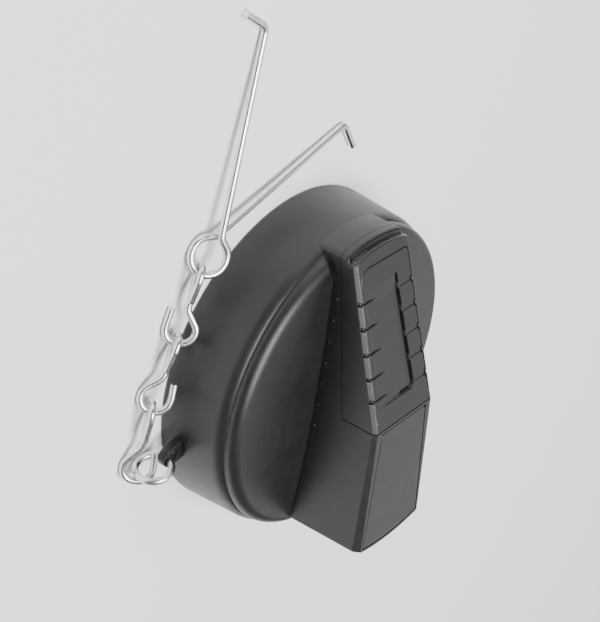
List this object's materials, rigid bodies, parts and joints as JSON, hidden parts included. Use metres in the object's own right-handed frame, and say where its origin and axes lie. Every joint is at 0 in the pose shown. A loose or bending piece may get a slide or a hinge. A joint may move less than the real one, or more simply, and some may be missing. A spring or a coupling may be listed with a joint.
{
  "type": "fuel filler cap",
  "caption": "Lockable fuel tank filler cap with a bar handle, a slide cover over its lock, a bayonet spigot, and a wire anchor on a short chain.",
  "frame": {"origin": "on the cap's axis, in the plane of the skirt's rim", "axes": "+Z out of the tank along the cap's axis, +X towards the handle's tall end, chain on the -Y side"},
  "size_m": [0.1876, 0.1331, 0.0559],
  "materials": {
    "cover_plastic": "fine-grained satin black",
    "slide_plastic": "fine-grained satin black",
    "lid_plastic": "fine-grained satin black",
    "spigot_plastic": "moulded black",
    "plate_plastic": "moulded black",
    "zinc_wire": "bright zinc-plated wire",
    "zinc_steel": "zinc-plated",
    "spring_steel": "oiled spring steel",
    "lock_zinc": "nickel-plated die casting",
    "lock_brass": "plain",
    "seal_rubber": "fuel-proof rubber"
  },
  "bodies": {
    "cap": {"cover_shell": "cover_plastic", "handle_lid": "lid_plastic", "lock_housing": "lock_zinc", "lock_nut": "zinc_steel", "bayonet_body": "spigot_plastic", "bayonet_plate": "zinc_steel", "plate_screws": "zinc_steel", "flange_screws": "zinc_steel", "flange_gasket": "seal_rubber", "stop_ring": "spring_steel", "vent_cage": "spigot_plastic", "main_spring": "spring_steel", "vent_spring": "spring_steel"},
    "lock_slide": {"slide_cover": "slide_plastic"},
    "lock_core": {"lock_plug": "lock_brass", "lock_wafers": "lock_brass", "plug_clip": "spring_steel", "lock_cam": "zinc_steel", "cam_pin": "zinc_steel"},
    "bolt": {"lock_bolt": "zinc_steel"},
    "sprung_plate": {"pressure_plate": "plate_plastic", "seal_ring": "seal_rubber"},
    "vent_valve": {"vent_disc": "seal_rubber"},
    "ring": {"chain_ring": "zinc_wire"},
    "link_3": {"chain_link_3": "zinc_wire"},
    "link_2": {"chain_link_2": "zinc_wire"},
    "link_1": {"chain_link_1": "zinc_wire"},
    "anchor": {"wire_anchor": "zinc_wire"}
  },
  "joints": [
    {"name": "lock_slide_travel", "type": "slide", "parent": "cap", "child": "lock_slide", "axis": [-0.9806, 0, -0.1961], "range_m": [0, 0.0214]},
    {"name": "key_turn", "type": "hinge", "parent": "cap", "child": "lock_core", "pos_m": [-0.0105, 0, 0.03], "axis": [0, 0, -1], "range_deg": [0, 90]},
    {"name": "bolt_travel", "type": "slide", "parent": "cap", "child": "bolt", "axis": [0, -1, 0], "range_m": [0, 0.00566]},
    {"name": "seal_plate_press", "type": "slide", "parent": "cap", "child": "sprung_plate", "axis": [0, 0, 1], "range_m": [0, 0.0035], "stiffness_N_per_m": 2000, "springref_m": -0.004, "deforming": ["main_spring"]},
    {"name": "vent_lift", "type": "slide", "parent": "cap", "child": "vent_valve", "axis": [0, 0, 1], "range_m": [0, 0.0012], "stiffness_N_per_m": 60, "springref_m": -0.002, "deforming": ["vent_spring"]},
    {"name": "ring_swing", "type": "hinge", "parent": "cap", "child": "ring", "pos_m": [0.01192, -0.0613, 0.00685], "axis": [0, 0, 1], "range_deg": [-1, 60]},
    {"name": "link_3_swing", "type": "hinge", "parent": "ring", "child": "link_3", "pos_m": [0.01522, -0.07222, 0.00445], "axis": [0, 0, 1], "range_deg": [-1, 40]},
    {"name": "link_2_swing", "type": "hinge", "parent": "link_3", "child": "link_2", "pos_m": [-0.00939, -0.06748, 0.00445], "axis": [0, 0, 1], "range_deg": [-1, 45]},
    {"name": "link_1_swing", "type": "hinge", "parent": "link_2", "child": "link_1", "pos_m": [-0.03028, -0.05815, 0.00445], "axis": [0, 0, 1], "range_deg": [-1, 40]},
    {"name": "anchor_swing", "type": "hinge", "parent": "link_1", "child": "anchor", "pos_m": [-0.05192, -0.05031, 0.00445], "axis": [0, 0, 1], "range_deg": [-1, 40]}
  ],
  "couplings": [
    {"joint": "key_turn", "follows": "bolt_travel", "rad_per_m": 277.5}
  ]
}
